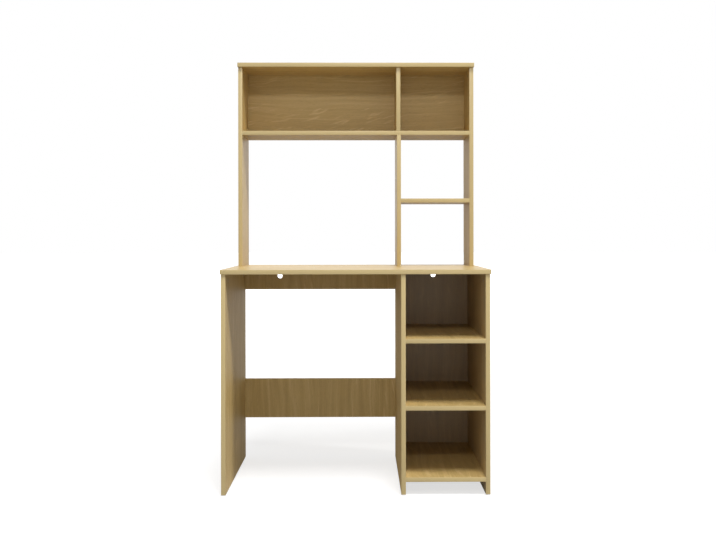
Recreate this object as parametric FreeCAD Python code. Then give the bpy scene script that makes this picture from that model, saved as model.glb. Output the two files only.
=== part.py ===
import FreeCAD, Part
import os
from math import cos, pi, sin

# A student desk with a three-cubby pedestal on the right and an open hutch along its back.
# Millimetres. X runs to the right, Y from the front to the back, Z up.
# The origin lies on the floor, under the middle of the desktop.

# Overall
desk_width = 900.0
desk_depth = 500.0
desk_height = 750.0
overall_height = 1500.0

# Boards
board = 15.0
edge_band = 0.5

# Desk
side_inset = 3.0
side_setback = 5.0
pedestal_opening = 266.0
pedestal_foot_gap = 42.0
bottom_cubby_height = 222.0
middle_cubby_height = 208.0
top_rail_height = 80.0
lower_rail_height = 150.0
lower_rail_foot_gap = 155.0

# Cable holes
cable_hole_radius = 10.0
rail_hole_from_side = 135.0
rail_hole_drop = 28.0
pedestal_hole_drop = 24.0

# Hutch
hutch_inset = 16.0
hutch_depth = 180.0
hutch_top_end_overhang = 2.0
hutch_top_front_overhang = 8.0
upper_bay_height = 235.0
middle_bay_height = 235.0
upper_divider_shift = 2.0

# Glides under the uprights
glide_height = 3.0
glide_radius = 7.0
glide_inset = 40.0
nail_radius = 1.0
nail_length = 14.0

# Cam locks
cam_radius = 7.4
cam_distance = 24.0
cam_sink = 0.3
cam_top_plate = 3.2
driver_cross_length = 8.0
driver_cross_width = 1.4
driver_cross_depth = 2.0

# Cam bolts
bolt_thread_radius = 2.4
bolt_shank_radius = 3.0
bolt_neck_radius = 2.0
bolt_neck_lead = 0.4
bolt_head_radius = 3.2
bolt_head_length = 3.8

# Dowels, and the screws that hold the hutch
dowel_radius = 3.95
dowel_length = 30.0
screw_radius = 2.0
screw_length = 35.0
screw_head_radius = 4.0
screw_head_height = 2.4

# Play between the fittings and their bores
bore_clearance = 0.05
bore_end_gap = 0.3
cam_clearance = 0.1
head_clearance = 0.6
neck_clearance = 0.4
shank_clearance = 1.0

# Board left under a bore that is drilled in its face
cam_bore_floor = 2.5
face_bore_floor = 4.0

# Places of the fittings
cam_inset = 60.0
hole_pitch = 32.0
lower_rail_pitch = 64.0
pedestal_back_dowel_inset = 120.0
hutch_joint_inset = 45.0
upper_divider_dowel_inset = 30.0
lower_divider_dowel_inset = 70.0
hutch_back_dowel_inset = 50.0

# Flat sides that stand for the round wall of a small fitting or its bore, to keep them light
dowel_sides = 8
bolt_sides = 8
disc_sides = 16

# How far a drill starts outside the board
drill_start = 1.0

# Depths that follow from the boards
face_bore_depth = board - face_bore_floor
in_face = face_bore_depth - bore_end_gap
cam_bore_depth = board - cam_bore_floor

# Planes that several boards share
half_board = board / 2
half_width = desk_width / 2
front = -desk_depth / 2
back = desk_depth / 2
upright_front = front + side_setback
desktop_under = desk_height - board
outer_x = half_width - side_inset
inner_x = outer_x - board
divider_right = inner_x - pedestal_opening
divider_left = divider_right - board
rear_board_front = back - board
rear_board_middle = back - half_board
pedestal_bottom_under = glide_height + pedestal_foot_gap
middle_shelf_under = pedestal_bottom_under + board + bottom_cubby_height
upper_shelf_under = middle_shelf_under + board + middle_cubby_height
lower_rail_under = glide_height + lower_rail_foot_gap
lower_rail_top = lower_rail_under + lower_rail_height
top_rail_under = desktop_under - top_rail_height

hutch_front = back - hutch_depth
hutch_under = overall_height - board
hutch_outer_x = half_width - hutch_inset
hutch_inner_x = hutch_outer_x - board
long_shelf_top = hutch_under - upper_bay_height
long_shelf_under = long_shelf_top - board
small_shelf_top = long_shelf_under - middle_bay_height
small_shelf_under = small_shelf_top - board
upper_divider_left = divider_left - upper_divider_shift
upper_divider_right = divider_right - upper_divider_shift

V = FreeCAD.Vector
RIGHT = V(1, 0, 0)
LEFT = V(-1, 0, 0)
BACK = V(0, 1, 0)
UP = V(0, 0, 1)
DOWN = V(0, 0, -1)

# Each edge of a board: its axis, and whether it is the low or the high end.
EDGES = {
    "left": ("x", 0),
    "right": ("x", 1),
    "front": ("y", 0),
    "back": ("y", 1),
    "bottom": ("z", 0),
    "top": ("z", 1),
}

boards = {}
edgings = {}
drillings = {}
hardware = {}


def box(x, y, z):
    """Box between two limits on each axis."""
    return Part.makeBox(x[1] - x[0], y[1] - y[0], z[1] - z[0], V(x[0], y[0], z[0]))


def panel(name, x, y, z, banded=()):
    """Board between its limits. Each banded edge is trimmed and gets a strip of edge banding."""
    spans = {"x": x, "y": y, "z": z}
    strips = []
    for edge in banded:
        axis, end = EDGES[edge]
        low, high = spans[axis]
        strip = dict(spans)
        if end == 0:
            strip[axis] = (low, low + edge_band)
            spans[axis] = (low + edge_band, high)
        else:
            strip[axis] = (high - edge_band, high)
            spans[axis] = (low, high - edge_band)
        strips.append(box(**strip))
    boards[name] = box(**spans)
    drillings[name] = []
    if strips:
        edgings[name + "_edging"] = strips


def seat(shape, at, along, facing):
    """Copy of a fitting drawn along +X and facing +Z, turned and set in its place."""
    side = facing.cross(along)
    matrix = FreeCAD.Matrix(
        along.x, side.x, facing.x, at.x,
        along.y, side.y, facing.y, at.y,
        along.z, side.z, facing.z, at.z,
        0, 0, 0, 1,
    )
    seated = shape.copy()
    seated.Placement = FreeCAD.Placement(matrix)
    return seated


def ring_of_points(radius, sides):
    """Corners of a regular polygon, as pairs of distances from its middle."""
    turns = [2 * pi * (corner + 0.5) / sides for corner in range(sides)]
    return [(radius * cos(turn), radius * sin(turn)) for turn in turns]


def stage(start, end, radius, sides, end_radius=None):
    """One straight or tapered length of a small turned piece, along X."""
    rings = []
    for along, ring_radius in ((start, radius), (end, end_radius or radius)):
        corners = [V(along, y, z) for y, z in ring_of_points(ring_radius, sides)]
        rings.append(Part.makePolygon(corners + corners[:1]))
    return Part.makeLoft(rings, True, True)


def drum(radius, sides, low, high):
    """Drum across a board's thickness, on the axis of its cam lock."""
    corners = [V(cam_distance + x, y, low) for x, y in ring_of_points(radius, sides)]
    return Part.Face(Part.makePolygon(corners + corners[:1])).extrude(V(0, 0, high - low))


def cam_lock():
    """Cam housing: a drum with a driver cross on top, a pocket for the bolt's head and a slot for its neck."""
    top = half_board - cam_sink
    bottom = half_board - cam_bore_depth
    pocket_z = (bottom, top - cam_top_plate)
    pocket = drum(bolt_head_radius + head_clearance, bolt_sides, *pocket_z)
    half_slot = bolt_neck_radius + neck_clearance
    slot = box((cam_distance - cam_radius, cam_distance), (-half_slot, half_slot), pocket_z)
    long_half = driver_cross_length / 2
    thin_half = driver_cross_width / 2
    cross_z = (top - driver_cross_depth, top)
    along_arm = box((cam_distance - long_half, cam_distance + long_half), (-thin_half, thin_half), cross_z)
    across_arm = box((cam_distance - thin_half, cam_distance + thin_half), (-long_half, long_half), cross_z)
    return drum(cam_radius, disc_sides, bottom, top).cut([pocket, slot, along_arm, across_arm])


def cam_bolt():
    """Bolt turned into the face of one board, with its head in the cam lock of the other."""
    neck_start = cam_distance - cam_radius - bolt_neck_lead
    head_start = cam_distance - bolt_head_length / 2
    thread = stage(-in_face, 0, bolt_thread_radius, bolt_sides)
    shank = stage(0, neck_start, bolt_shank_radius, bolt_sides)
    neck = stage(neck_start, head_start, bolt_neck_radius, bolt_sides)
    head = stage(head_start, head_start + bolt_head_length, bolt_head_radius, bolt_sides)
    return thread.fuse([shank, neck, head])


def dowel():
    """Wooden dowel across a joint."""
    return stage(-in_face, dowel_length - in_face, dowel_radius, dowel_sides)


def hutch_screw(play=0.0, end_play=0.0):
    """Countersunk screw up through the desktop; with play, it is the screw's own hole."""
    head_end = screw_head_height - board
    shank_end = screw_length - board + end_play
    head = stage(-board, head_end, screw_head_radius + play, bolt_sides, screw_radius + play)
    return head.fuse(stage(head_end, shank_end, screw_radius + play, bolt_sides))


def glide():
    """Plastic disc glide with its nail, drawn with its sole facing -X."""
    disc = stage(-glide_height, 0, glide_radius, disc_sides)
    return disc.fuse(stage(0, nail_length, nail_radius, dowel_sides))


def add_hardware(node, shape, at, along, facing):
    """Put a fitting in its place, in the node of its kind."""
    hardware.setdefault(node, []).append(seat(shape, at, along, facing))


def drill(name, tool, at, along, facing):
    """Note a hole to drill in a board."""
    drillings[name].append(seat(tool, at, along, facing))


def cam_joint(unit, edge_board, face_board, at, along, cam_face):
    """Cam lock in the edge board, drawing up a bolt in the face of the other board."""
    pilot = stage(-face_bore_depth, drill_start, bolt_thread_radius + bore_clearance, bolt_sides)
    channel = stage(-drill_start, cam_distance, bolt_shank_radius + shank_clearance, bolt_sides)
    cam_bore = drum(cam_radius + cam_clearance, disc_sides, half_board - cam_bore_depth, half_board + drill_start)
    drill(face_board, pilot, at, along, cam_face)
    drill(edge_board, channel, at, along, cam_face)
    drill(edge_board, cam_bore, at, along, cam_face)
    add_hardware(unit + "_cam_locks", cam_lock(), at, along, cam_face)
    add_hardware(unit + "_cam_bolts", cam_bolt(), at, along, cam_face)


def dowel_joint(unit, edge_board, face_board, at, along, facing):
    """Dowel half in the face of one board and half in the edge of the other."""
    bore_radius = dowel_radius + bore_clearance
    edge_bore_depth = dowel_length - in_face + bore_end_gap
    drill(face_board, stage(-face_bore_depth, drill_start, bore_radius, dowel_sides), at, along, facing)
    drill(edge_board, stage(-drill_start, edge_bore_depth, bore_radius, dowel_sides), at, along, facing)
    add_hardware(unit + "_dowels", dowel(), at, along, facing)


def desk_boards():
    """Desktop, three uprights and two rails."""
    upright_y = (upright_front, back)
    upright_z = (glide_height, desktop_under)
    knee_x = (-inner_x, divider_left)
    rear_y = (rear_board_front, back)
    all_round = ("front", "back", "left", "right")
    both_ends = ("front", "back")
    panel("desktop", (-half_width, half_width), (front, back), (desktop_under, desk_height), all_round)
    panel("desk_left_side", (-outer_x, -inner_x), upright_y, upright_z, both_ends)
    panel("desk_divider", (divider_left, divider_right), upright_y, upright_z, both_ends)
    panel("desk_right_side", (inner_x, outer_x), upright_y, upright_z, both_ends)
    panel("rear_top_rail", knee_x, rear_y, (top_rail_under, desktop_under), ("bottom",))
    panel("modesty_rail", knee_x, rear_y, (lower_rail_under, lower_rail_top), ("bottom", "top"))


def pedestal_boards():
    """Back, bottom and two shelves of the pedestal."""
    opening_x = (divider_right, inner_x)
    shelf_y = (upright_front, rear_board_front)
    panel("pedestal_back", opening_x, (rear_board_front, back), (pedestal_bottom_under, desktop_under), ("bottom",))
    for name, under in (
        ("pedestal_bottom", pedestal_bottom_under),
        ("pedestal_middle_shelf", middle_shelf_under),
        ("pedestal_upper_shelf", upper_shelf_under),
    ):
        panel(name, opening_x, shelf_y, (under, under + board), ("front",))


def hutch_boards():
    """Hutch sides, top, shelves, dividers and the back of its upper bays."""
    side_y = (hutch_front, back)
    side_z = (desk_height, hutch_under)
    inside_x = (-hutch_inner_x, hutch_inner_x)
    top_x = (-hutch_outer_x - hutch_top_end_overhang, hutch_outer_x + hutch_top_end_overhang)
    top_y = (hutch_front - hutch_top_front_overhang, back)
    upper_z = (long_shelf_top, hutch_under)
    lower_x = (divider_left, divider_right)
    all_round = ("front", "back", "left", "right")
    both_ends = ("front", "back")
    panel("hutch_top", top_x, top_y, (hutch_under, overall_height), all_round)
    panel("hutch_left_side", (-hutch_outer_x, -hutch_inner_x), side_y, side_z, both_ends)
    panel("hutch_right_side", (hutch_inner_x, hutch_outer_x), side_y, side_z, both_ends)
    panel("hutch_long_shelf", inside_x, side_y, (long_shelf_under, long_shelf_top), both_ends)
    panel("hutch_back", inside_x, (rear_board_front, back), upper_z)
    panel("hutch_upper_divider", (upper_divider_left, upper_divider_right),
          (hutch_front, rear_board_front), upper_z, ("front",))
    panel("hutch_lower_divider", lower_x, side_y, (desk_height, long_shelf_under), both_ends)
    panel("hutch_small_shelf", (divider_right, hutch_inner_x), side_y, (small_shelf_under, small_shelf_top), both_ends)


def join_desktop():
    """Two cam locks and a dowel between the desktop and each upright."""
    for upright, x, inward in (
        ("desk_left_side", -inner_x - half_board, RIGHT),
        ("desk_divider", divider_left + half_board, RIGHT),
        ("desk_right_side", inner_x + half_board, LEFT),
    ):
        for y in (upright_front + cam_inset, back - cam_inset):
            cam_joint("desk", upright, "desktop", V(x, y, desktop_under), DOWN, inward)
        middle = (upright_front + back) / 2
        dowel_joint("desk", upright, "desktop", V(x, middle, desktop_under), DOWN, inward)


def join_rails():
    """A cam lock and a dowel at each end of the rails, with the cams turned from behind."""
    for rail, middle, pitch in (
        ("rear_top_rail", (top_rail_under + desktop_under) / 2, hole_pitch),
        ("modesty_rail", (lower_rail_under + lower_rail_top) / 2, lower_rail_pitch),
    ):
        for upright, x, along in (("desk_left_side", -inner_x, RIGHT), ("desk_divider", divider_left, LEFT)):
            low = V(x, rear_board_middle, middle - pitch / 2)
            high = V(x, rear_board_middle, middle + pitch / 2)
            cam_joint("desk", rail, upright, low, along, BACK)
            dowel_joint("desk", rail, upright, high, along, BACK)


def join_pedestal():
    """A cam lock and a dowel at each end of the pedestal's level boards, and dowels at its back."""
    uprights = (("desk_divider", divider_right, RIGHT), ("desk_right_side", inner_x, LEFT))
    for upright, x, along in uprights:
        for level_board, under in (
            ("pedestal_bottom", pedestal_bottom_under),
            ("pedestal_middle_shelf", middle_shelf_under),
            ("pedestal_upper_shelf", upper_shelf_under),
        ):
            z = under + half_board
            near = V(x, upright_front + cam_inset, z)
            far = V(x, rear_board_front - cam_inset, z)
            cam_joint("desk", level_board, upright, near, along, DOWN)
            dowel_joint("desk", level_board, upright, far, along, DOWN)
        for z in (pedestal_bottom_under + pedestal_back_dowel_inset, desktop_under - pedestal_back_dowel_inset):
            dowel_joint("desk", "pedestal_back", upright, V(x, rear_board_middle, z), along, BACK)


def join_hutch_sides():
    """Fix the hutch's sides to the desktop, the top and the long shelf."""
    near = hutch_front + hutch_joint_inset
    far = back - hutch_joint_inset
    screw_hole = hutch_screw(bore_clearance, bore_end_gap)
    for side, inner, inward in (("hutch_left_side", -hutch_inner_x, RIGHT), ("hutch_right_side", hutch_inner_x, LEFT)):
        x = inner - inward.x * half_board
        foot = V(x, far, desk_height)
        dowel_joint("hutch", side, "desktop", V(x, near, desk_height), UP, inward)
        drill("desktop", screw_hole, foot, UP, inward)
        drill(side, screw_hole, foot, UP, inward)
        add_hardware("hutch_screws", hutch_screw(), foot, UP, inward)
        cam_joint("hutch", side, "hutch_top", V(x, near, hutch_under), DOWN, inward)
        dowel_joint("hutch", side, "hutch_top", V(x, far, hutch_under), DOWN, inward)
        shelf_z = long_shelf_under + half_board
        cam_joint("hutch", "hutch_long_shelf", side, V(inner, near, shelf_z), inward, DOWN)
        dowel_joint("hutch", "hutch_long_shelf", side, V(inner, far, shelf_z), inward, DOWN)
        for z in (long_shelf_top + hutch_back_dowel_inset, hutch_under - hutch_back_dowel_inset):
            dowel_joint("hutch", "hutch_back", side, V(inner, rear_board_middle, z), inward, BACK)


def join_hutch_dividers():
    """Dowel the dividers between the boards above and below them, and the small shelf beside them."""
    upper_x = upper_divider_left + half_board
    for y in (hutch_front + upper_divider_dowel_inset, rear_board_front - upper_divider_dowel_inset):
        dowel_joint("hutch", "hutch_upper_divider", "hutch_top", V(upper_x, y, hutch_under), DOWN, RIGHT)
        dowel_joint("hutch", "hutch_upper_divider", "hutch_long_shelf", V(upper_x, y, long_shelf_top), UP, RIGHT)
    lower_x = divider_left + half_board
    for y in (hutch_front + lower_divider_dowel_inset, back - lower_divider_dowel_inset):
        dowel_joint("hutch", "hutch_lower_divider", "hutch_long_shelf", V(lower_x, y, long_shelf_under), DOWN, RIGHT)
        dowel_joint("hutch", "hutch_lower_divider", "desktop", V(lower_x, y, desk_height), UP, RIGHT)
    z = small_shelf_under + half_board
    for upright, x, along in (("hutch_lower_divider", divider_right, RIGHT), ("hutch_right_side", hutch_inner_x, LEFT)):
        for y in (hutch_front + hutch_joint_inset, back - hutch_joint_inset):
            dowel_joint("hutch", "hutch_small_shelf", upright, V(x, y, z), along, DOWN)


def fit_glides():
    """Two glides under each upright of the desk."""
    nail_hole = stage(-drill_start, nail_length + bore_end_gap, nail_radius + bore_clearance, dowel_sides)
    for upright, x in (
        ("desk_left_side", -inner_x - half_board),
        ("desk_divider", divider_left + half_board),
        ("desk_right_side", inner_x + half_board),
    ):
        for y in (upright_front + glide_inset, back - glide_inset):
            at = V(x, y, glide_height)
            drill(upright, nail_hole, at, UP, RIGHT)
            add_hardware("glides", glide(), at, UP, RIGHT)


def drill_cable_holes():
    """Round holes for cables through the rear top rail and the pedestal's back."""
    hole = Part.makeCylinder(cable_hole_radius, board + 2 * drill_start, V(-drill_start, 0, 0), RIGHT)
    rail_at = V(-inner_x + rail_hole_from_side, rear_board_front, desktop_under - rail_hole_drop)
    pedestal_at = V((divider_right + inner_x) / 2, rear_board_front, desktop_under - pedestal_hole_drop)
    drill("rear_top_rail", hole, rail_at, BACK, UP)
    drill("pedestal_back", hole, pedestal_at, BACK, UP)


desk_boards()
pedestal_boards()
hutch_boards()
join_desktop()
join_rails()
join_pedestal()
join_hutch_sides()
join_hutch_dividers()
fit_glides()
drill_cable_holes()

os.makedirs("parts", exist_ok=True)
for node, shape in boards.items():
    drilled = shape.cut(drillings[node]) if drillings[node] else shape
    drilled.exportStep("parts/" + node + ".step")
for node, pieces in {**edgings, **hardware}.items():
    Part.makeCompound(pieces).exportStep("parts/" + node + ".step")
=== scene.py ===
import math

import bmesh
import bpy
from bpy.props import FloatProperty, FloatVectorProperty, IntProperty, PointerProperty
from bpy.types import Operator, Panel, PropertyGroup
from mathutils import Euler, Matrix, Vector


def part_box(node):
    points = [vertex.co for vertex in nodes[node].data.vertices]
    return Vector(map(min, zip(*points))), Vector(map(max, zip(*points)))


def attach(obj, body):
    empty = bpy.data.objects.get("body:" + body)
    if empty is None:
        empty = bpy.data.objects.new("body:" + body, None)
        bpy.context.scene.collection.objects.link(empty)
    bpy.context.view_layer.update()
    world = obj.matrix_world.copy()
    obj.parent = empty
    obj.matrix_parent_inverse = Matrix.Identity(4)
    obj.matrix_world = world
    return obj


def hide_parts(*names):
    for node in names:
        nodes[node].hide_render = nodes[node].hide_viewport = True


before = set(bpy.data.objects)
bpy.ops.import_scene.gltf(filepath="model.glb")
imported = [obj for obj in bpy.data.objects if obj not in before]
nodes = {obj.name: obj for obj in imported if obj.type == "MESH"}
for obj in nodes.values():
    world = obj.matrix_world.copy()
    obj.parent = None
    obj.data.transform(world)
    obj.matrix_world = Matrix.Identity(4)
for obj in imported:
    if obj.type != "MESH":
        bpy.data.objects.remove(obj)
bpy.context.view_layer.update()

bl_info = {
    "name": "Student Desk with Hutch",
    "version": (1, 0, 0),
    "blender": (4, 5, 0),
    "location": "View3D > Sidebar > Desk",
    "description": "Finishes for a student desk with a cubby pedestal and an open hutch",
    "category": "Object",
}

AXES = {"x": 0, "y": 1, "z": 2}
UNITS = ("desk", "hutch")
MM = 0.001
TOUCH = 1e-6  # metres within which two places are the same

# Every board: axis of its thickness, axis of its grain, its cut in the print, slant of the flecks.
DESK_BOARDS = {
    "desktop": ("z", "x", 0.0, 0.20),
    "desk_left_side": ("x", "z", 1.7, 0.16),
    "desk_divider": ("x", "z", 3.1, -0.14),
    "desk_right_side": ("x", "z", 4.6, 0.18),
    "rear_top_rail": ("y", "z", 6.2, 0.12),
    "modesty_rail": ("y", "z", 11.65, 0.15),
}
PEDESTAL_BOARDS = {
    "pedestal_back": ("y", "z", 9.3, 0.14),
    "pedestal_bottom": ("z", "y", 10.8, 0.20),
    "pedestal_middle_shelf": ("z", "y", 12.4, -0.18),
    "pedestal_upper_shelf": ("z", "y", 13.9, 0.16),
}
HUTCH_BOARDS = {
    "hutch_top": ("z", "x", 15.2, -0.22),
    "hutch_left_side": ("x", "z", 16.9, 0.14),
    "hutch_right_side": ("x", "z", 18.3, -0.16),
    "hutch_long_shelf": ("z", "x", 19.6, 0.20),
    "hutch_back": ("y", "x", 22.60, -0.28),
    "hutch_upper_divider": ("x", "z", 22.8, 0.14),
    "hutch_lower_divider": ("x", "z", 24.1, -0.15),
    "hutch_small_shelf": ("z", "x", 25.7, -0.20),
}
# Settings of the boards whose foil has its own roughness or gloss.
DULL_FOIL = ("dull_roughness", "gloss")
FOILS = {
    "desktop": ("worktop_roughness", "worktop_gloss"),
    "desk_divider": ("divider_roughness", "gloss"),
    "pedestal_back": ("roughness", "pedestal_gloss"),
    "desk_left_side": DULL_FOIL,
    "desk_right_side": DULL_FOIL,
    "hutch_right_side": DULL_FOIL,
    "hutch_long_shelf": DULL_FOIL,
    "hutch_top": DULL_FOIL,
}
# Boards whose front or left face closes the pedestal, and their share of the painted grey haze laid
# over the shade inside it.
PAINTED_PEDESTAL_HAZE = {"pedestal_back": 1.0, "desk_right_side": 0.5}

# Patterns of wood: repeats per metre along and across the grain, detail, and shift.
GRAIN = {
    "wander": (1.6, 5.0, 2.0, 0.0),
    "pith": (0.9, 1.0, 1.0, 40.0),
    "streaks": (2.4, 62.0, 3.0, 11.0),
    "lines": (3.0, 170.0, 1.0, 17.0),
    "flecks": (15.0, 105.0, 1.0, 23.0),
    "patches": (4.0, 9.0, 1.0, 31.0),
    "fibres": (18.0, 950.0, 2.0, 3.0),
    "pores": (70.0, 2100.0, 0.0, 5.0),
}
# Values at which a pattern starts to show and at which it shows in full.
SHOWN = {
    "lines": (0.60, 0.74),
    "flecks": (0.56, 0.72),
    "patches": (0.42, 0.62),
    "pores": (0.63, 0.70),
}
WANDER = 0.09  # metres that the grain wanders across a board
LOG_RADIUS = 0.17  # metres from pith to bark of the log in the print
LAYER_STEP = LOG_RADIUS / 5  # metres from one layer of the print to the next
PITH_RANGE = (0.25, 0.75)  # values of its pattern at which it is nearest and furthest
PITH_BELOW = (0.02, 0.08)  # metres from the cut down to the pith
RING_RISE = (0.0, 0.72)  # share of a ring in which it darkens
RING_FALL = (0.78, 1.0)  # share of a ring in which it turns pale again
PORE_RANGE = (0.1, 0.6)  # darkness of a ring between which its pores thin out
PORES_LEFT = 0.25  # share of them left in its darkest part
FIBRE_RELIEF = 0.4  # height of the fibres beside the depth of the pores
# What each finish sets on the wood grain.
OAK_GRAIN = {"Rings": 0.10, "Streaks": 1.0, "Lines": 0.26, "Fibres": 0.35}
BAND_GRAIN = {"Layer": 5.5, "Ring width": 3 * MM, "Rings": 0.12, "Streaks": 0.8, "Lines": 0.2,
              "Flecks": 0.0, "Fibres": 0.6}
BEECH_GRAIN = {"Layer": 2.5, "Ring width": 1.6 * MM, "Rings": 0.3, "Streaks": 0.4, "Lines": 0.1,
               "Flecks": 0.2, "Fibres": 0.5}
BAND_TONES = (0.2, 0.7)  # tones of the grain that look all dark and all light
BEECH_TONES = (0.0, 1.0)
FACE_SHIFT = 0.63  # layers of the print between the two faces of a board
PORE_SHADE = 0.45  # how far the pores darken the print
FOIL_RELIEF = 0.05  # depth of the foil's relief beside that of the core

# Depth of each finish's relief, and how strongly it shows.
RELIEF = {
    "board": (0.5 * MM, 0.6),
    "band": (0.02 * MM, 0.5),
    "metal": (0.03 * MM, 0.4),
    "turned": (0.05 * MM, 0.5),
    "glide": (0.04 * MM, 0.4),
}
NOISE_RANGE = (0.3, 0.7)  # values of a noise at which it has no effect and all of it
CORE_GRIT = 0.3  # share of fine grit in the tone of chipboard
SMEARS = 7.0  # smears per metre of a finish
METAL_CLOUDS = 0.12  # size of the metal's grit beside that of its clouds
METAL_ROUGHNESS = (0.28, 0.46)
METAL_SHADE = 0.72  # brightness of the metal's darker tone beside its main one
ZINC_GRAIN = 0.5 * MM
STEEL_GRAIN = 0.35 * MM
BEECH_ROUGHNESS = 0.7
GLIDE_GRIT = 900.0  # grains per metre of the glides' skin
GLIDE_ROUGHNESS = (0.42, 0.6)
SCUFF_RANGE = (0.4, 0.6)  # values of the grit between which scuffs show
SCUFF_HEIGHT = 0.4 * MM  # how far up from the floor they reach
SCUFF_SHADE = 0.7  # their brightness beside that of the glide

SMOOTH_BELOW = math.radians(38)  # edges that bend less than this look smooth
NO_BAND = 0.1 * MM  # an edge whose band is thinner than this has none
# Shifts of the band's print: metres per board, metres per strip, and share of both across it.
BOARD_SHIFT, STRIP_SHIFT, SIDE_SHIFT = 1.7, 0.45, 0.37
TURNED_SHIFTS = (3.1, 1.7, 2.3)  # shift of a turned piece's grain per metre along X, Y and Z
Z_TO_X = Matrix(((0, 0, 1, 0), (1, 0, 0, 0), (0, 1, 0, 0), (0, 0, 0, 1)))
RIGHT_OF = 0.3  # cams further right than this sit in a right side

# Profiles are in millimetres. Cam lock: distance in from the plate's edge and down from its top.
CAM_PLATE = ((0.0, 2.8), (0.0, 0.35), (0.35, 0.0), (1.1, 0.0), (1.4, 0.25))
CAM_WALL_TOP = 2.5 * MM  # from the top of the cam down to its wall
CAM_WALL_OUTSIDE = 0.95  # radius of the wall's outside beside the plate's
CAM_WALL_INSIDE = (5.6, 4.1)  # radius inside the wall, at its start and at its end
CAM_HALF_GAP = math.radians(38)  # half the opening in the wall
# Driver crosses: length of an arm, half its width, depth, and size of bottom beside top.
CAM_CROSS = (3.9 * MM, 0.75 * MM, 2.0 * MM, 0.8)
SCREW_CROSS = (2.2 * MM, 0.45 * MM, 1.5 * MM, 0.55)
# Cam bolt: distance from its point and radius, before and after its thread.
BOLT_POINT = ((0.0, 1.4), (0.9, 2.2))
BOLT_BODY = ((10.7, 2.35), (10.8, 2.95), (12.1, 2.95), (12.5, 2.7), (26.4, 2.7), (26.9, 1.95),
             (32.6, 1.95), (33.0, 2.9), (33.6, 3.15), (35.6, 3.15))
BOLT_END = 2.2 * MM  # radius at the end of its head
# Threads: pitch, depth, start and end. Rings that carry one: first, last, radius and distance.
BOLT_THREAD = (2.4 * MM, 0.55 * MM, 1.2 * MM, 10.2 * MM)
BOLT_RINGS = (1.3 * MM, 10.3 * MM, 2.35 * MM, 0.6 * MM)
# The same for a screw, with the thread's end and the last ring measured from its point.
SCREW_THREAD = (1.9 * MM, 0.45 * MM, 3.0 * MM, 2.0 * MM)
SCREW_RINGS = (3.2 * MM, 3.0 * MM, 1.95 * MM, 0.5 * MM)
# Screw: distance from the top of its head and radius, then from its point and radius.
SCREW_HEAD = ((0.0, 3.75), (0.1, 3.9), (0.35, 3.9), (2.4, 1.95))
SCREW_POINT = ((1.2, 0.9), (0.0, 0.15))
DOWEL_END = ((0.0, 2.9), (1.0, 3.9))  # distance from either end and radius
FLUTES = 20
FLUTE_WAVE = 0.12 * MM  # half the depth of a flute
# Glide, and the head and shank of its nail: radius and height over the floor.
GLIDE_DISC = ((2.6, 0.9), (2.9, 0.25), (3.3, 0.0), (6.1, 0.0), (6.65, 0.18), (6.95, 0.6),
              (7.0, 1.0), (6.8, 3.0))
NAIL_HEAD = ((1.9, 0.35), (2.3, 0.55), (2.3, 0.9))
NAIL_SHANK = ((0.95, 3.0), (0.95, 15.5))
NAIL_POINT = 0.1 * MM
NAIL_SIDES = 12

FLOOR_RADIUS = 40.0
FLOOR_SIDES = 96
FLOOR_DROP = 0.3 * MM  # from the glides down to the floor
GLOW_RISE = (1.2, 4.0)  # metres from the middle between which the floor turns white
SENSOR = 36.0  # width of the camera's sensor in millimetres
AIM = Vector((0.0, 0.0, 0.75))  # where the lights point


def colour(name, description, default):
    return FloatVectorProperty(name=name, description=description, default=default,
                               subtype="COLOR", min=0.0, max=1.0)


def number(name, description, default, **kind):
    return FloatProperty(name=name, description=description, default=default, **kind)


def length(name, description, default):
    return number(name, description, default, unit="LENGTH", subtype="DISTANCE", min=0.0,
                  precision=5)


def factor(name, description, default):
    return number(name, description, default, subtype="FACTOR", min=0.0, max=1.0)


def angle(name, description, default):
    return number(name, description, math.radians(default), unit="ROTATION", subtype="ANGLE")


def lamp_strength(lamp, default):
    return number(lamp + " light", "Brightness that it gives a white card", default, min=0.0)


def lamp_elevation(lamp, default):
    return angle(lamp + " elevation", "Height of this light over the horizon", default)


def lamp_azimuth(lamp, default):
    return angle(lamp + " azimuth", "Turn of this light from in front to the right", default)


def lamp_size(lamp, default):
    return length(lamp + " size", "Width of this light", default)


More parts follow.
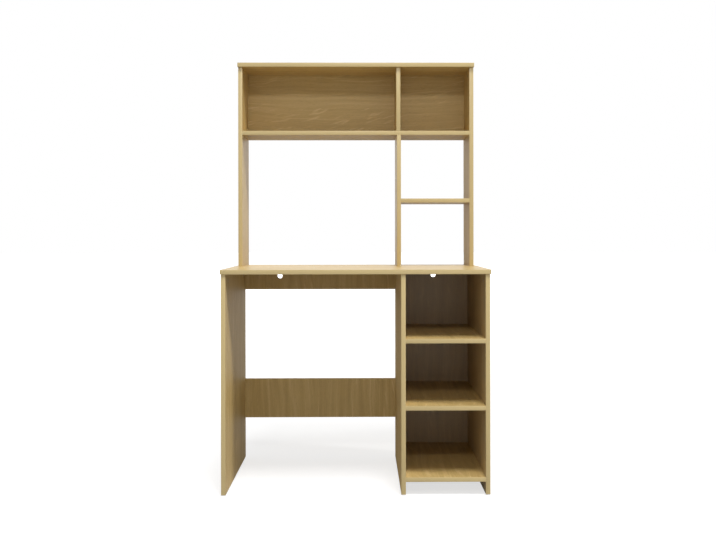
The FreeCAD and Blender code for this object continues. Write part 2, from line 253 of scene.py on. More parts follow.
class OakFinish(PropertyGroup):
    dark: colour("Dark grain", "Colour of the print's darkest streaks", (0.41, 0.275, 0.094))
    middle: colour("Oak", "Main colour of the oak print", (0.555, 0.392, 0.15))
    light: colour("Light grain", "Colour of the print's palest streaks", (0.69, 0.515, 0.235))
    pores: colour("Pores", "Colour of the short open pores", (0.23, 0.135, 0.05))
    core: colour("Chipboard", "Main colour of the bare core", (0.42, 0.29, 0.16))
    core_flakes: colour("Chipboard flakes", "Colour of its darker flakes", (0.22, 0.135, 0.065))
    foil: length("Foil", "How far into the board's faces the foil reaches", 0.2 * MM)
    ring_width: length("Ring width", "Distance between growth rings in the print", 5 * MM)
    flecks: factor("Flecks", "Strength of the short pale flecks in the print", 0.35)
    back_flecks: factor("Back flecks", "Strength of the flecks on the hutch's back", 0.42)
    roughness: factor("Foil roughness", "Roughness of the satin foil", 0.38)
    worktop_roughness: factor("Worktop roughness", "Roughness of the desktop's foil", 0.34)
    dull_roughness: factor("Dull roughness", "Roughness of the foil on the duller boards", 0.48)
    divider_roughness: factor("Divider roughness", "Roughness of the desk divider's foil", 0.75)
    gloss: factor("Gloss", "Strength of the foil's reflection", 0.38)
    worktop_gloss: factor("Worktop gloss", "Strength of the desktop's reflection", 0.36)
    pedestal_gloss: factor("Pedestal gloss", "Strength of the pedestal back's reflection", 0.60)
    # Painted shade: a grey laid over the shaded faces inside the pedestal, not a colour of the
    # print.
    pedestal_grey: colour("Pedestal grey", "Grey painted over the shaded print inside the pedestal",
                          (0.56, 0.5, 0.45))
    pedestal_fade: factor("Pedestal fade", "How strongly the painted grey covers the shaded print inside the pedestal", 0.42)
    core_roughness: factor("Core roughness", "Roughness of bare chipboard", 0.92)


class EdgeBand(PropertyGroup):
    dark: colour("Dark grain", "Colour of the band's darker lines", (0.54, 0.408, 0.186))
    light: colour("Light grain", "Main colour of the band", (0.66, 0.515, 0.248))
    rounding: length("Rounding", "Radius along the band's outer edges", 0.42 * MM)
    rounding_steps: IntProperty(name="Rounding steps", default=3, min=1, max=8,
                                description="Flat steps that make the rounding")
    roughness: factor("Roughness", "Roughness of the band", 0.36)


class Fittings(PropertyGroup):
    zinc: colour("Cam locks", "Colour of the cast cam locks", (0.52, 0.51, 0.49))
    steel: colour("Steel", "Colour of the plated bolts, screws and nails", (0.56, 0.555, 0.54))
    beech: colour("Beech", "Main colour of the dowels", (0.62, 0.42, 0.24))
    beech_dark: colour("Beech grain", "Colour of the dowels' darker grain", (0.43, 0.26, 0.13))
    glide: colour("Glides", "Colour of the glides", (0.74, 0.73, 0.7))
    sides: IntProperty(name="Round sides", description="Sides around each turned fitting",
                       default=32, min=8, max=128)


class Stage(PropertyGroup):
    key_strength: lamp_strength("Key", 0.74)
    key_elevation: lamp_elevation("Key", 68.0)
    key_azimuth: lamp_azimuth("Key", 10.0)
    key_size: lamp_size("Key", 4.8)
    side_strength: lamp_strength("Side", 0.33)
    side_elevation: lamp_elevation("Side", 27.0)
    side_azimuth: lamp_azimuth("Side", 74.0)
    side_size: lamp_size("Side", 1.6)
    front_strength: lamp_strength("Front", 0.125)
    front_elevation: lamp_elevation("Front", 31.5)
    front_azimuth: lamp_azimuth("Front", 0.0)
    front_size: lamp_size("Front", 0.4)
    front_distance: length("Front distance", "Distance of the front light from the desk", 5.58)
    back_strength: lamp_strength("Back", 0.40)
    back_elevation: lamp_elevation("Back", 8.0)
    back_azimuth: lamp_azimuth("Back", 180.0)
    back_size: lamp_size("Back", 6.0)
    lamp_distance: length("Lamp distance", "Distance of the other lights from the desk", 18.0)
    ambient: colour("Ambient light", "Colour and strength of the light all round", (0.3, 0.3, 0.3))
    floor: colour("Floor", "Colour of the floor", (0.4, 0.4, 0.4))
    floor_glow: factor("Floor glow", "White added to the floor that the camera sees", 0.68)
    floor_mirrored: factor("Floor mirrored", "Share of that glow in the desk's reflections", 0.10)
    camera_place: FloatVectorProperty(name="Camera place", description="Where the camera stands",
                                      default=(0.01617, -3.04292, 0.86408), unit="LENGTH",
                                      subtype="TRANSLATION")
    camera_turn: FloatVectorProperty(name="Camera turn", description="Rotation of the camera",
                                     default=(math.pi / 2, 0.00126, -0.00881),
                                     unit="ROTATION", subtype="EULER")
    lens: number("Lens", "Focal length for a 36 mm wide sensor", 42.405, min=1.0, unit="CAMERA")
    shift: FloatVectorProperty(name="Shift", description="Sideways and upward shift of the lens",
                               size=2, default=(-0.01384, -0.04842))


class DeskSettings(PropertyGroup):
    oak: PointerProperty(type=OakFinish, name="Oak", description="Finish of the boards")
    band: PointerProperty(type=EdgeBand, name="Edge band", description="Finish of the edges")
    fittings: PointerProperty(type=Fittings, name="Fittings", description="Finish of the hardware")
    stage: PointerProperty(type=Stage, name="Stage", description="Floor, lights and camera")


class Graph:
    """Short way of writing down a node tree."""

    def __init__(self, tree):
        self.tree = tree

    def node(self, kind, inputs=None, **settings):
        made = self.tree.nodes.new(kind)
        for name, value in settings.items():
            setattr(made, name, value)
        for name, value in (inputs or {}).items():
            self.put(made.inputs[name], value)
        return made

    def put(self, socket, value):
        if isinstance(value, bpy.types.NodeSocket):
            self.tree.links.new(value, socket)
        elif socket.type == "RGBA" and len(value) == 3:
            socket.default_value = (*value, 1.0)
        else:
            socket.default_value = value

    def math(self, operation, *values):
        made = self.node("ShaderNodeMath", operation=operation)
        for socket, value in zip(made.inputs, values):
            self.put(socket, value)
        return made.outputs[0]

    def span(self, value, low, high, to_low=0.0, to_high=1.0, smooth=False):
        inputs = {"Value": value, "From Min": low, "From Max": high, "To Min": to_low,
                  "To Max": to_high}
        kind = "SMOOTHSTEP" if smooth else "LINEAR"
        return self.node("ShaderNodeMapRange", inputs, interpolation_type=kind).outputs[0]

    def scale(self, vector, size):
        inputs = {"Vector": vector, "Scale": size}
        return self.node("ShaderNodeVectorMath", inputs, operation="SCALE").outputs[0]

    def split(self, vector):
        return self.node("ShaderNodeSeparateXYZ", {"Vector": vector}).outputs

    def place(self):
        """Place on the object, which is the place on the desk."""
        return self.node("ShaderNodeTexCoord").outputs["Object"]

    def noise(self, vector, detail, roughness=0.5, distortion=0.0):
        return self.node("ShaderNodeTexNoise", {
            "Vector": vector, "Scale": 1.0, "Detail": detail, "Roughness": roughness,
            "Distortion": distortion,
        }).outputs[0]

    def mix(self, share, first, second):
        made = self.node("ShaderNodeMix", data_type="RGBA")
        colours = [s for s in made.inputs if s.type == "RGBA"]
        self.put(made.inputs["Factor"], share)
        self.put(colours[0], first)
        self.put(colours[1], second)
        return next(s for s in made.outputs if s.type == "RGBA")

    def use(self, build, inputs):
        """Place a group with its own values. Its function builds it the first time."""
        name = build.__name__.replace("_", " ").capitalize()
        tree = bpy.data.node_groups.get(name) or build(name)
        return self.node("ShaderNodeGroup", inputs, node_tree=tree).outputs

    def finish(self, shader, tint, roughness, height, relief):
        """Lay a colour, a roughness and one of the reliefs on a shader."""
        depth, strength = RELIEF[relief]
        bump = self.node("ShaderNodeBump", {"Height": height, "Distance": depth,
                                            "Strength": strength})
        self.put(shader.inputs["Base Color"], tint)
        self.put(shader.inputs["Roughness"], roughness)
        self.put(shader.inputs["Normal"], bump.outputs[0])


def new_group(name, inputs, outputs):
    """Shader node group, as its graph, inputs and outputs. An input of None is a place."""
    tree = bpy.data.node_groups.new(name, "ShaderNodeTree")
    for socket, default in inputs.items():
        kind = "NodeSocketVector" if default is None else "NodeSocketFloat"
        made = tree.interface.new_socket(name=socket, in_out="INPUT", socket_type=kind)
        if default is not None:
            made.default_value = default
    for socket in outputs:
        tree.interface.new_socket(name=socket, in_out="OUTPUT", socket_type="NodeSocketFloat")
    graph = Graph(tree)
    return graph, graph.node("NodeGroupInput").outputs, graph.node("NodeGroupOutput").inputs


def wood_grain(name):
    """Group: tone, pores and relief of sawn wood, from places along and across the grain."""
    graph, given, result = new_group(name, {
        "Along": 0.0, "Across": 0.0, "Layer": 0.0, "Slant": 0.2, "Ring width": 0.005, "Rings": 0.1,
        "Streaks": 0.5, "Lines": 0.2, "Flecks": 0.2, "Fibres": 0.15,
    }, ("Tone", "Pores", "Relief"))
    m, along, layer = graph.math, given["Along"], given["Layer"]

    def pattern(name, across):
        along_rate, across_rate, detail, shift = GRAIN[name]
        place = graph.node("ShaderNodeCombineXYZ", {
            "X": m("MULTIPLY", along, along_rate), "Y": m("MULTIPLY", across, across_rate),
            "Z": m("ADD", layer, shift),
        }).outputs[0]
        return graph.noise(place, detail)

    def shown(name, across):
        return graph.span(pattern(name, across), *SHOWN[name], smooth=True)

    def around_half(value):
        return m("SUBTRACT", value, 0.5)

    wander = m("MULTIPLY", around_half(pattern("wander", given["Across"])), WANDER)
    bent = m("ADD", given["Across"], wander)
    slanted = m("ADD", bent, m("MULTIPLY", along, given["Slant"]))
    # Growth rings cut lengthwise: the pith runs nearer to the cut and further from it
    below = graph.span(pattern("pith", 0.0), *PITH_RANGE, *PITH_BELOW)
    beside = m("PINGPONG", m("ADD", bent, m("MULTIPLY", layer, LAYER_STEP)), LOG_RADIUS)
    radius = m("SQRT", m("ADD", m("MULTIPLY", beside, beside), m("MULTIPLY", below, below)))
    share = m("FRACT", m("DIVIDE", radius, given["Ring width"]))
    ring = m("MULTIPLY", graph.span(share, *RING_RISE, smooth=True),
             graph.span(share, *RING_FALL, 1.0, 0.0, smooth=True))
    fibre = pattern("fibres", bent)
    pore = m("MULTIPLY", shown("pores", bent), graph.span(ring, *PORE_RANGE, 1.0, PORES_LEFT))
    tone = 0.5
    for value, strength in (
        (around_half(pattern("streaks", bent)), "Streaks"),
        (around_half(m("SUBTRACT", 1.0, ring)), "Rings"),
        (around_half(fibre), "Fibres"),
        (shown("lines", bent), "Lines"),
        (m("MULTIPLY", shown("flecks", slanted), shown("patches", given["Across"])), "Flecks"),
    ):
        tone = m("ADD", m("MULTIPLY", value, given[strength]), tone)
    graph.put(result["Tone"], m("MAXIMUM", m("MINIMUM", tone, 1.0), 0.0))
    graph.put(result["Pores"], pore)
    graph.put(result["Relief"], m("SUBTRACT", m("MULTIPLY", fibre, FIBRE_RELIEF), pore))
    return graph.tree


def chipboard(name):
    """Group: the flakes and pits of bare chipboard."""
    graph, given, result = new_group(name, {"Place": None, "Flake": 0.0016}, ("Flakes", "Relief"))
    m = graph.math
    place = graph.scale(given["Place"], m("DIVIDE", 1.0, given["Flake"]))
    cells = graph.node("ShaderNodeTexVoronoi", {"Vector": place, "Scale": 1.0, "Randomness": 1.0})
    shade = graph.node("ShaderNodeSeparateColor", {"Color": cells.outputs["Color"]}).outputs[0]
    grit = graph.noise(place, 4.0, 0.7)
    graph.put(result["Flakes"], m("ADD", m("MULTIPLY", shade, 1.0 - CORE_GRIT),
                                  m("MULTIPLY", grit, CORE_GRIT)))
    graph.put(result["Relief"], m("MULTIPLY", cells.outputs["Distance"], grit))
    return graph.tree


def handling(name):
    """Group: smears and dust that make a finish duller in places."""
    graph, given, result = new_group(name, {"Place": None, "Amount": 0.08, "Base": 0.4},
                                     ("Roughness",))
    m = graph.math
    smear = graph.noise(graph.scale(given["Place"], SMEARS), 4.0, 0.6, 0.4)
    change = m("MULTIPLY", m("SUBTRACT", smear, 0.5), given["Amount"])
    graph.put(result["Roughness"], m("ADD", given["Base"], change))
    return graph.tree


def metal_skin(name):
    """Group: mottled tone and relief of cast or plated metal."""
    graph, given, result = new_group(name, {"Place": None, "Grain": 0.0006},
                                     ("Tone", "Roughness", "Relief"))
    m = graph.math
    fine = graph.scale(given["Place"], m("DIVIDE", 1.0, given["Grain"]))
    grit = graph.noise(fine, 3.0, 0.6)
    cloud = graph.noise(graph.scale(fine, METAL_CLOUDS), 2.0)
    graph.put(result["Tone"], m("ADD", m("MULTIPLY", grit, 0.5), m("MULTIPLY", cloud, 0.5)))
    graph.put(result["Roughness"], graph.span(cloud, *NOISE_RANGE, *METAL_ROUGHNESS))
    graph.put(result["Relief"], grit)
    return graph.tree


def emptied(owner):
    """Graph of a material or a world, with nothing in it yet."""
    owner.use_nodes = True
    owner.node_tree.nodes.clear()
    return Graph(owner.node_tree)


def new_material(name):
    """Material, as itself, its graph and its Principled shader."""
    made = bpy.data.materials.new(name)
    graph = emptied(made)
    shader = graph.node("ShaderNodeBsdfPrincipled")
    graph.node("ShaderNodeOutputMaterial", {"Surface": shader.outputs[0]})
    return made, graph, shader


def oak_material(name, thickness_axis, grain_axis, cut, slant):
    """Oak foil on both faces of a board, with chipboard where its core is bare."""
    oak = bpy.context.scene.desk.oak
    low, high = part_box(name)
    axis = AXES[thickness_axis]
    middle = (low[axis] + high[axis]) / 2
    half = (high[axis] - low[axis]) / 2
    across_axis = next(a for a in AXES if a not in (thickness_axis, grain_axis))
    made, graph, shader = new_material("Oak " + name.replace("_", " "))
    m = graph.math
    place = graph.place()
    parts = graph.split(place)
    off_middle = m("SUBTRACT", parts[axis], middle)
    other_face = m("MULTIPLY", m("GREATER_THAN", off_middle, 0.0), FACE_SHIFT)
    foil = m("GREATER_THAN", m("ABSOLUTE", off_middle), half - oak.foil)
    bare = m("SUBTRACT", 1.0, foil)
    grain = graph.use(wood_grain, {
        "Along": parts[AXES[grain_axis]], "Across": parts[AXES[across_axis]],
        "Layer": m("ADD", other_face, cut), "Slant": slant, "Ring width": oak.ring_width,
        "Flecks": oak.back_flecks if name == "hutch_back" else oak.flecks, **OAK_GRAIN,
    })
    tone = grain["Tone"]
    dark_side = graph.mix(graph.span(tone, 0.0, 0.5), oak.dark, oak.middle)
    tinted = graph.mix(graph.span(tone, 0.5, 1.0), dark_side, oak.light)
    foil_colour = graph.mix(m("MULTIPLY", grain["Pores"], PORE_SHADE), tinted, oak.pores)
    # Faces inside the pedestal, which lie in shade, get a painted grey haze over the print: painted
    # shade, not the foil's own colour.
    if name in PAINTED_PEDESTAL_HAZE:
        inside = m("LESS_THAN", off_middle, 0.0)
        painted_grey = m("MULTIPLY", inside, oak.pedestal_fade * PAINTED_PEDESTAL_HAZE[name])
        foil_colour = graph.mix(painted_grey, foil_colour, oak.pedestal_grey)
    core = graph.use(chipboard, {"Place": place})
    core_colour = graph.mix(core["Flakes"], oak.core_flakes, oak.core)
    smooth, gloss = (getattr(oak, part) for part in FOILS.get(name, ("roughness", "gloss")))
    dull = graph.use(handling, {"Place": place, "Base": smooth})["Roughness"]
    rough = m("ADD", m("MULTIPLY", foil, dull), m("MULTIPLY", bare, oak.core_roughness))
    height = m("ADD", m("MULTIPLY", foil, m("MULTIPLY", grain["Relief"], FOIL_RELIEF)),
               m("MULTIPLY", bare, core["Relief"]))
    graph.finish(shader, graph.mix(foil, core_colour, foil_colour), rough, height, "board")
    shader.inputs["Specular IOR Level"].default_value = gloss
    return made


def grained_material(name, uv_map, settings, tones, dark, light, roughness):
    """Wood or its print, with the grain along a UV map that also names its relief."""
    made, graph, shader = new_material(name)
    place = graph.node("ShaderNodeUVMap", uv_map=uv_map).outputs[0]
    parts = graph.split(place)
    grain = graph.use(wood_grain, {"Along": parts[0], "Across": parts[1], **settings})
    tint = graph.mix(graph.span(grain["Tone"], *tones), dark, light)
    rough = graph.use(handling, {"Place": place, "Base": roughness})["Roughness"]
    graph.finish(shader, tint, rough, grain["Relief"], uv_map)
    return made


def metal_material(name, tint, grain_size):
    """Cast or plated metal."""
    made, graph, shader = new_material(name)
    skin = graph.use(metal_skin, {"Place": graph.place(), "Grain": grain_size})
    dark = [METAL_SHADE * c for c in tint]
    mottled = graph.mix(graph.span(skin["Tone"], *NOISE_RANGE), dark, tint)
    graph.finish(shader, mottled, skin["Roughness"], skin["Relief"], "metal")
    shader.inputs["Metallic"].default_value = 1.0
    return made


def glide_material():
    """Moulded glide plastic, scuffed on its sole."""
    tint = bpy.context.scene.desk.fittings.glide
    made, graph, shader = new_material("Glide plastic")
    place = graph.place()
    grit = graph.noise(graph.scale(place, GLIDE_GRIT), 3.0)
    sole = graph.span(graph.split(place)["Z"], 0.0, SCUFF_HEIGHT, 1.0, 0.0)
    scuffs = graph.math("MULTIPLY", sole, graph.span(grit, *SCUFF_RANGE))
    scuffed = graph.mix(scuffs, tint, [SCUFF_SHADE * c for c in tint])
    graph.finish(shader, scuffed, graph.span(grit, *NOISE_RANGE, *GLIDE_ROUGHNESS), grit, "glide")
    return made


def finish_boards(boards):
    """Give each board of a group its own oak."""
    for name, board in boards.items():
        made = oak_material(name, *board)
        nodes[name].data.materials.clear()
        nodes[name].data.materials.append(made)


def new_object(name, data):
    """Object in the scene, from a bmesh, a lamp or a camera."""
    if isinstance(data, bmesh.types.BMesh):
        bm, data = data, bpy.data.meshes.new(name)
        bm.to_mesh(data)
        bm.free()
    made = bpy.data.objects.new(name, data)
    bpy.context.scene.collection.objects.link(made)
    return made


def new_piece(name, bm, materials, slot, *replaced):
    """Object from a bmesh, riding on the desk and standing for its CAD nodes."""
    piece = new_object(name, bm)
    piece.data.set_sharp_from_angle(angle=SMOOTH_BELOW)
    for material in materials:
        piece.data.materials.append(material)
    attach(piece, "root")
    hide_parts(*replaced)


def new_fitting(name, bm, materials, slot, *replaced):
    """Piece whose faces are all turned outwards first."""
    bmesh.ops.recalc_face_normals(bm, faces=bm.faces)
    new_piece(name, bm, materials, slot, *replaced)


def main_axis(vector):
    """Axis along which a vector is longest."""
    return max(range(3), key=lambda i: abs(vector[i]))


def direction_of(axis, sign=1.0):
    """Vector of length one up or down an axis."""
    return Vector([sign if i == axis else 0.0 for i in range(3)])


def in_mm(pairs):
    """Pairs of millimetres, in metres."""
    return [(first * MM, second * MM) for first, second in pairs]


def solids_of(node):
    """Box of each solid in a CAD node of separate solids."""
    bm = bmesh.new()
    bm.from_mesh(nodes[node].data)
    bmesh.ops.remove_doubles(bm, verts=bm.verts, dist=TOUCH)
    left = set(bm.verts)
    boxes = []
    while left:
        solid, found = set(), {left.pop()}
        while found:
            solid |= found
            found = {e.other_vert(v) for v in found for e in v.link_edges} - solid
        left -= solid
        boxes.append([Vector([pick(v.co[i] for v in solid) for i in range(3)])
                      for pick in (min, max)])
    bm.free()
    return sorted(boxes, key=lambda b: tuple(round(c, 5) for c in b[0]))


def band_strips(board, edging):
    """Box, axis and direction of each strip of a board's edging."""
    low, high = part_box(board)
    band_low, band_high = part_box(edging)
    strips = []
    for axis in (1, 0, 2):
        for direction, inner, outer in ((-1, low, band_low), (1, high, band_high)):
            if direction * (outer[axis] - inner[axis]) < NO_BAND:
                continue
            strip_low = low.copy()
            strip_high = high.copy()
            if axis == 1:
                strip_low.x = band_low.x
                strip_high.x = band_high.x
            strip_low[axis] = min(inner[axis], outer[axis])
            strip_high[axis] = max(inner[axis], outer[axis])
            strips.append((strip_low, strip_high, axis, direction))
    return strips


def add_strip(bm, uv, low, high, axis, direction, rounding, steps, shift):
    """One strip of edge band with rounded outer edges."""
    size = high - low
    matrix = Matrix.Translation((low + high) / 2) @ Matrix.Diagonal((*size, 1.0))
    verts = bmesh.ops.create_cube(bm, size=1.0, matrix=matrix)["verts"]
    outer = high[axis] if direction > 0 else low[axis]
    edges = {e for v in verts for e in v.link_edges}
    run = main_axis(size)
    rounded = [e for e in edges if all(abs(v.co[axis] - outer) < TOUCH for v in e.verts)]
    if axis == 0:
        rounded = [e for e in rounded if abs(e.verts[0].co[run] - e.verts[1].co[run]) > TOUCH]
    made = bmesh.ops.bevel(bm, geom=rounded, offset=rounding, offset_type="OFFSET", segments=steps,
                           profile=0.5, affect="EDGES", clamp_overlap=False)
    faces = {f for v in verts if v.is_valid for f in v.link_faces} | set(made["faces"])
    wide = next(i for i in range(3) if i not in (axis, run))
    for face in faces:
        face.smooth = True
        for loop in face.loops:
            place = loop.vert.co
            loop[uv].uv = (place[run] + shift, place[wide] - low[wide] + SIDE_SHIFT * shift)


def build_edging():
    """Rounded edge bands in place of the flat strips."""
    band = bpy.context.scene.desk.band
    material = grained_material("Edge band", "band", BAND_GRAIN, BAND_TONES, band.dark,
                                band.light, band.roughness)
    for number, edging in enumerate(sorted(n for n in nodes if n.endswith("_edging"))):
        bm = bmesh.new()
        uv = bm.loops.layers.uv.new("band")
        for place, strip in enumerate(band_strips(edging.removesuffix("_edging"), edging)):
            shift = BOARD_SHIFT * number + STRIP_SHIFT * place
            add_strip(bm, uv, *strip, band.rounding, band.rounding_steps, shift)
        new_piece(edging.replace("_edging", "_edge_band"), bm, [material], "edge_banding", edging)


def facing_matrix(at, along, facing):
    """Frame with X along a fitting and Z out of the face it is seen on."""
    turn = Matrix((along, facing.cross(along), facing)).transposed()
    return Matrix.Translation(at) @ turn.to_4x4()


def add_vert(bm, matrix, reach, turn, height):
    """Vertex at a distance and angle round Z."""
    return bm.verts.new(matrix @ Vector((reach * math.cos(turn), reach * math.sin(turn), height)))


def add_ring(bm, matrix, radius, height, sides, wave=lambda along, turn: 0.0):
    """Ring of vertices round Z. A wave changes the radius by distance along Z and angle."""
    turns = [2 * math.pi * step / sides for step in range(sides)]
    return [add_vert(bm, matrix, radius + wave(abs(height), turn), turn, height) for turn in turns]


def bridge(bm, rings, smooth=True):
    """Wall through rings that go the same way round. Returns its faces."""
    made = []
    for lower, upper in zip(rings, rings[1:]):
        for step in range(len(lower)):
            after = (step + 1) % len(lower)
            face = bm.faces.new((lower[step], lower[after], upper[after], upper[step]))
            face.smooth = smooth
            made.append(face)
    return made


def add_body(bm, rings, smooth=True):
    """Wall through rings, closed at both ends. Returns its faces."""
    ends = [bm.faces.new(list(reversed(rings[0]))), bm.faces.new(rings[-1])]
    return ends + bridge(bm, rings, smooth)


def add_turned(bm, uv, matrix, sides, stations, wave, smooth=True):
    """Turned piece along X through stations of distance and radius."""
    upright = matrix @ Z_TO_X
    rings = [add_ring(bm, upright, radius, along, sides, wave) for along, radius in stations]
    inverse = matrix.inverted()
    shift = sum(rate * matrix[i][3] for i, rate in enumerate(TURNED_SHIFTS))
    for face in add_body(bm, rings, smooth):
        for loop in face.loops:
            point = inverse @ loop.vert.co
            round_it = math.atan2(point.z, point.y) * math.hypot(point.y, point.z)
            loop[uv].uv = (point.x + shift, round_it)


def add_cross(bm, matrix, rim, arm, half_width, depth, taper):
    """Cap inside a rim of vertices, facing +Z, with a cross recess for a screwdriver."""
    top = sum(((matrix.inverted() @ v.co).z for v in rim)) / len(rim)
    outline = []
    for quarter in range(4):
        turn = Matrix.Rotation(math.pi / 2 * quarter, 3, "Z")
        for x, y in ((half_width, half_width), (half_width, arm), (-half_width, arm)):
            outline.append(turn @ Vector((x, y, 0.0)))
    upper = [bm.verts.new(matrix @ Vector((p.x, p.y, top))) for p in outline]
    lower = [bm.verts.new(matrix @ Vector((p.x * taper, p.y * taper, top - depth)))
             for p in outline]
    edges = []
    for ring in (rim, upper):
        for first, second in zip(ring, ring[1:] + ring[:1]):
            edges.append(bm.edges.get((first, second)) or bm.edges.new((first, second)))
    facing = matrix.to_3x3() @ Vector((0, 0, 1))
    bmesh.ops.triangle_fill(bm, use_beauty=True, use_dissolve=False, edges=edges, normal=facing)
    bridge(bm, [upper, lower], smooth=False)
    bm.faces.new(lower)


def cam_pairs(unit):
    """Boxes of each cam lock and its bolt, the direction from bolt to cam, and the cam's facing."""
    bolts = solids_of(unit + "_cam_bolts")
    pairs = []
    for cam in solids_of(unit + "_cam_locks"):
        middle = (cam[0] + cam[1]) / 2
        bolt = min(bolts, key=lambda b: ((b[0] + b[1]) / 2 - middle).length)
        gap = middle - (bolt[0] + bolt[1]) / 2
        run = main_axis(gap)
        size = cam[1] - cam[0]
        axis = min((i for i in range(3) if i != run), key=lambda i: size[i])
        sign = (-1.0 if middle.x > RIGHT_OF else 1.0, 1.0, -1.0)[axis]
        along = direction_of(run, math.copysign(1.0, gap[run]))
        pairs.append((cam, bolt, along, direction_of(axis, sign)))
    return pairs


def add_cam(bm, matrix, radius, half_height, sides):
    """Cam lock facing +Z: a round plate with a driver cross, over a spiral wall open to -X."""
    rings = [add_ring(bm, matrix, radius - inset, half_height - down, sides)
             for inset, down in in_mm(CAM_PLATE)]
    bridge(bm, rings)
    bm.faces.new(list(reversed(rings[0])))
    add_cross(bm, matrix, rings[-1], *CAM_CROSS)
    # The wall runs round from one side of the opening to the other and grows thicker
    wall_top = half_height - CAM_WALL_TOP
    outside = radius * CAM_WALL_OUTSIDE
    thin, thick = CAM_WALL_INSIDE
    columns = []
    for step in range(sides + 1):
        share = step / sides
        turn = math.pi + CAM_HALF_GAP + share * 2 * (math.pi - CAM_HALF_GAP)
        inside = (thin + (thick - thin) * share) * MM
        columns.append([add_vert(bm, matrix, reach, turn, height) for reach, height in (
            (outside, -half_height), (outside, wall_top), (inside, wall_top),
            (inside, -half_height))])
    for first, second in zip(columns, columns[1:]):
        for corner in range(4):
            after = (corner + 1) % 4
            face = bm.faces.new((first[corner], second[corner], second[after], first[after]))
            face.smooth = corner in (0, 2)
    bm.faces.new(columns[0])
    bm.faces.new(list(reversed(columns[-1])))


def build_cam_locks():
    """Round cam locks in place of the flat-sided ones."""
    fittings = bpy.context.scene.desk.fittings
    material = metal_material("Cast zinc", fittings.zinc, ZINC_GRAIN)
    for unit in UNITS:
        bm = bmesh.new()
        for (low, high), _, along, facing in cam_pairs(unit):
            size = high - low
            axis = main_axis(facing)
            radius = max(size[i] for i in range(3) if i != axis) / 2
            matrix = facing_matrix((low + high) / 2, along, facing)
            add_cam(bm, matrix, radius, size[axis] / 2, fittings.sides)
        new_fitting(unit + "_round_cam_locks", bm, [material], "cam_lock_zinc", unit + "_cam_locks")


def thread(pitch, depth, start, end):
    """Wave of a screw thread between two distances along a shank."""
    def wave(along, turn):
        if not start < along < end:
            return 0.0
        share = (along / pitch - turn / (2 * math.pi)) % 1.0
        return depth * (abs(2 * share - 1) - 1)
    return wave


def stations_between(start, end, radius, step):
    """Even stations of one radius."""
    count = max(1, round((end - start) / step))
    return [(start + (end - start) * i / count, radius) for i in range(count + 1)]


def build_cam_bolts():
    """Turned and threaded cam bolts."""
    fittings = bpy.context.scene.desk.fittings
    material = metal_material("Plated steel", fittings.steel, STEEL_GRAIN)
    stations = in_mm(BOLT_POINT) + stations_between(*BOLT_RINGS) + in_mm(BOLT_BODY)
    for unit in UNITS:
        bm = bmesh.new()
        uv = bm.loops.layers.uv.new("turned")
        for _, (low, high), along, facing in cam_pairs(unit):
            half = abs((high - low).dot(along)) / 2
            matrix = facing_matrix((low + high) / 2 - along * half, along, facing)
            add_turned(bm, uv, matrix, fittings.sides // 2, [*stations, (2 * half, BOLT_END)],
                       thread(*BOLT_THREAD))
        new_fitting(unit + "_turned_cam_bolts", bm, [material], "fastener_steel",
                    unit + "_cam_bolts")


def flute(along, turn):
    """Wave of a dowel's flutes."""
    return -FLUTE_WAVE * (1 - math.cos(FLUTES * turn))


def build_dowels():
    """Fluted dowels with chamfered ends."""
    fittings = bpy.context.scene.desk.fittings
    material = grained_material("Beech", "turned", BEECH_GRAIN, BEECH_TONES,
                                fittings.beech_dark, fittings.beech, BEECH_ROUGHNESS)
    for unit in UNITS:
        bm = bmesh.new()
        uv = bm.loops.layers.uv.new("turned")
        for low, high in solids_of(unit + "_dowels"):
            axis = main_axis(high - low)
            end = high[axis] - low[axis]
            along = direction_of(axis)
            base = (low + high) / 2 - along * end / 2
            matrix = facing_matrix(base, along, direction_of((axis + 1) % 3))
            stations = in_mm(DOWEL_END)
            stations += [(end - back, radius) for back, radius in reversed(stations)]
            add_turned(bm, uv, matrix, 2 * FLUTES, stations, flute, smooth=False)
        new_fitting(unit + "_fluted_dowels", bm, [material], "beech_dowel", unit + "_dowels")


def build_screws():
    """Countersunk screws with a driver cross, seen under the desktop."""
    fittings = bpy.context.scene.desk.fittings
    material = metal_material("Plated screw steel", fittings.steel, STEEL_GRAIN)
    bm = bmesh.new()
    for low, high in solids_of("hutch_screws"):
        middle = (low + high) / 2
        reach = high.z - low.z
        at = Vector((middle.x, middle.y, low.z))
        matrix = facing_matrix(at, direction_of(0), direction_of(2, -1.0))
        first, last, shank, step = SCREW_RINGS
        pitch, depth, start, end = SCREW_THREAD
        stations = in_mm(SCREW_HEAD) + stations_between(first, reach - last, shank, step)
        stations += [(reach - back, radius) for back, radius in in_mm(SCREW_POINT)]
        wave = thread(pitch, depth, start, reach - end)
        rings =[add_ring(bm, matrix, radius, -down, fittings.sides, wave)
                 for down, radius in reversed(stations)]
        bridge(bm, rings)
        bm.faces.new(list(reversed(rings[0])))
        add_cross(bm, matrix, rings[-1], *SCREW_CROSS)
    new_fitting("hutch_countersunk_screws", bm, [material], "fastener_steel", "hutch_screws")


def build_glides():
    """Moulded glides, each nailed through a dimple in its sole."""
    fittings = bpy.context.scene.desk.fittings
    plastic = glide_material()
    steel = metal_material("Nail steel", fittings.steel, STEEL_GRAIN)
    bm = bmesh.new()
    for low, high in solids_of("glides"):
        middle = (low + high) / 2
        at = Vector((middle.x, middle.y, low.z))
        matrix = facing_matrix(at, direction_of(0), direction_of(2))
        edge = min(high.x - low.x, high.y - low.y) / 2
        add_body(bm, [add_ring(bm, matrix, min(radius, edge), height, fittings.sides)
                      for radius, height in in_mm(GLIDE_DISC)])
        shank = [*in_mm(NAIL_SHANK), (NAIL_POINT, high.z - low.z)]
        for profile, sides in ((in_mm(NAIL_HEAD), fittings.sides // 2), (shank, NAIL_SIDES)):
            rings = [add_ring(bm, matrix, radius, height, sides) for radius, height in profile]
            for face in add_body(bm, rings):
                face.material_index = 1
    new_fitting("nailed_glides", bm, [plastic, steel], "glide_plastic", "glides")


